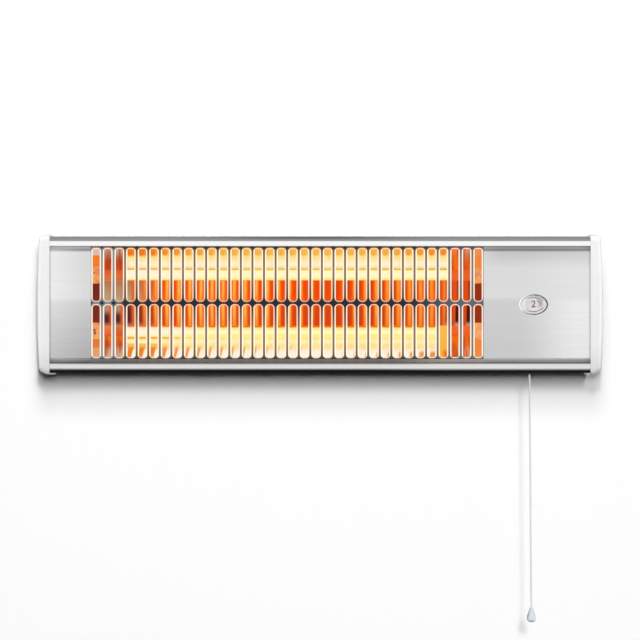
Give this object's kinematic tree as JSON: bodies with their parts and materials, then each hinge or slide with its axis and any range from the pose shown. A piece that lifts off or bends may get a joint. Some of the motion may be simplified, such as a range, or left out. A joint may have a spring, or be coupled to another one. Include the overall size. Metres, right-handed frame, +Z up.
{
  "type": "wall-mounted quartz infrared heater",
  "caption": "Slim wall-hung radiant heater: slotted aluminium cover over glowing quartz tubes, white end caps, tilting bracket, oval setting window and a pull cord with a bell.",
  "frame": {"origin": "midway between the two wall screws, on the wall face of the bracket", "axes": "+X to the right along the heater seen from the room, +Y into the wall, +Z up; the grille looks along -Y"},
  "size_m": [0.566, 0.1098, 0.3884],
  "materials": {
    "cover_aluminium": "brushed, satin",
    "cap_plastic": "smooth moulded",
    "panel_steel": "powder coat",
    "screw_steel": "zinc plated",
    "chamber_steel": "bright sheet",
    "reflector_aluminium": "polished",
    "link_brass": "plain",
    "lens_clear": "clear moulded",
    "dial_plastic": "matt",
    "switch_plastic": "matt",
    "nylon": "natural nylon",
    "grommet_nylon": "black nylon",
    "cord_fabric": "braided",
    "bell_plastic": "moulded",
    "wire_sleeve": "woven glass sleeve",
    "bracket_steel": "powder coat",
    "washer_rubber": "matt",
    "knob_plastic": "fine texture",
    "quartz": "milky quartz",
    "coil_wire": "resistance wire",
    "ceramic": "unglazed steatite"
  },
  "bodies": {
    "wall_mount": {"wall_bracket": "bracket_steel"},
    "housing": {"front_cover": "cover_aluminium", "rear_panel": "panel_steel", "rear_panel_screws": "screw_steel", "end_cap_right": "cap_plastic", "end_cap_left": "cap_plastic", "end_cap_screws": "screw_steel", "tube_bracket_left": "chamber_steel", "tube_bracket_right": "chamber_steel", "reflector": "reflector_aluminium", "neutral_link": "link_brass", "thermal_cutout": "switch_plastic", "indicator_lens": "lens_clear", "pull_switch": "switch_plastic", "switch_bracket": "chamber_steel", "cord_grommet": "grommet_nylon", "terminal_block": "nylon", "terminal_screws": "link_brass", "cable_gland": "grommet_nylon", "gland_lock_nut": "grommet_nylon", "pivot_lug_right": "bracket_steel", "pivot_lug_left": "bracket_steel", "pivot_screws": "screw_steel", "pivot_washers": "washer_rubber", "quartz_tube_upper": "quartz", "quartz_tube_lower": "quartz", "heating_coil_upper": "coil_wire", "heating_coil_lower": "coil_wire", "ceramic_end_upper_left": "ceramic", "ceramic_end_upper_right": "ceramic", "ceramic_end_lower_left": "ceramic", "ceramic_end_lower_right": "ceramic", "lead_upper": "wire_sleeve", "lead_lower": "wire_sleeve", "lead_feed": "wire_sleeve", "lead_live": "wire_sleeve", "lead_neutral": "wire_sleeve"},
    "knob_right": {"tilt_knob_right": "knob_plastic"},
    "knob_left": {"tilt_knob_left": "knob_plastic"},
    "dial": {"indicator_dial": "dial_plastic"},
    "pull": {"pull_plunger": "nylon", "cord_head": "cord_fabric"},
    "cord": {"pull_cord": "cord_fabric", "cord_bell": "bell_plastic"}
  },
  "joints": [
    {"name": "tilt", "type": "hinge", "parent": "wall_mount", "child": "housing", "pos_m": [0, -0.019, 0], "axis": [1, 0, 0], "range_deg": [0, 25]},
    {"name": "knob_right_turn", "type": "hinge", "parent": "housing", "child": "knob_right", "pos_m": [0.156, -0.019, 0], "axis": [1, 0, 0], "continuous": true},
    {"name": "knob_left_turn", "type": "hinge", "parent": "housing", "child": "knob_left", "pos_m": [-0.156, -0.019, 0], "axis": [1, 0, 0], "continuous": true},
    {"name": "dial_turn", "type": "hinge", "parent": "housing", "child": "dial", "pos_m": [0.2137, -0.0985, -0.02], "axis": [0, 1, 0], "continuous": true},
    {"name": "cord_pull", "type": "slide", "parent": "housing", "child": "pull", "axis": [0, 0, -1], "range_m": [0, 0.012], "stiffness_N_per_m": 500, "springref_m": -0.006},
    {"name": "cord_swing", "type": "hinge", "parent": "pull", "child": "cord", "pos_m": [0.2102, -0.092, -0.069], "axis": [1, 0, 0], "range_deg": [-30, 30]}
  ],
  "couplings": [
    {"joint": "cord_swing", "follows": "tilt", "ratio": -1}
  ]
}
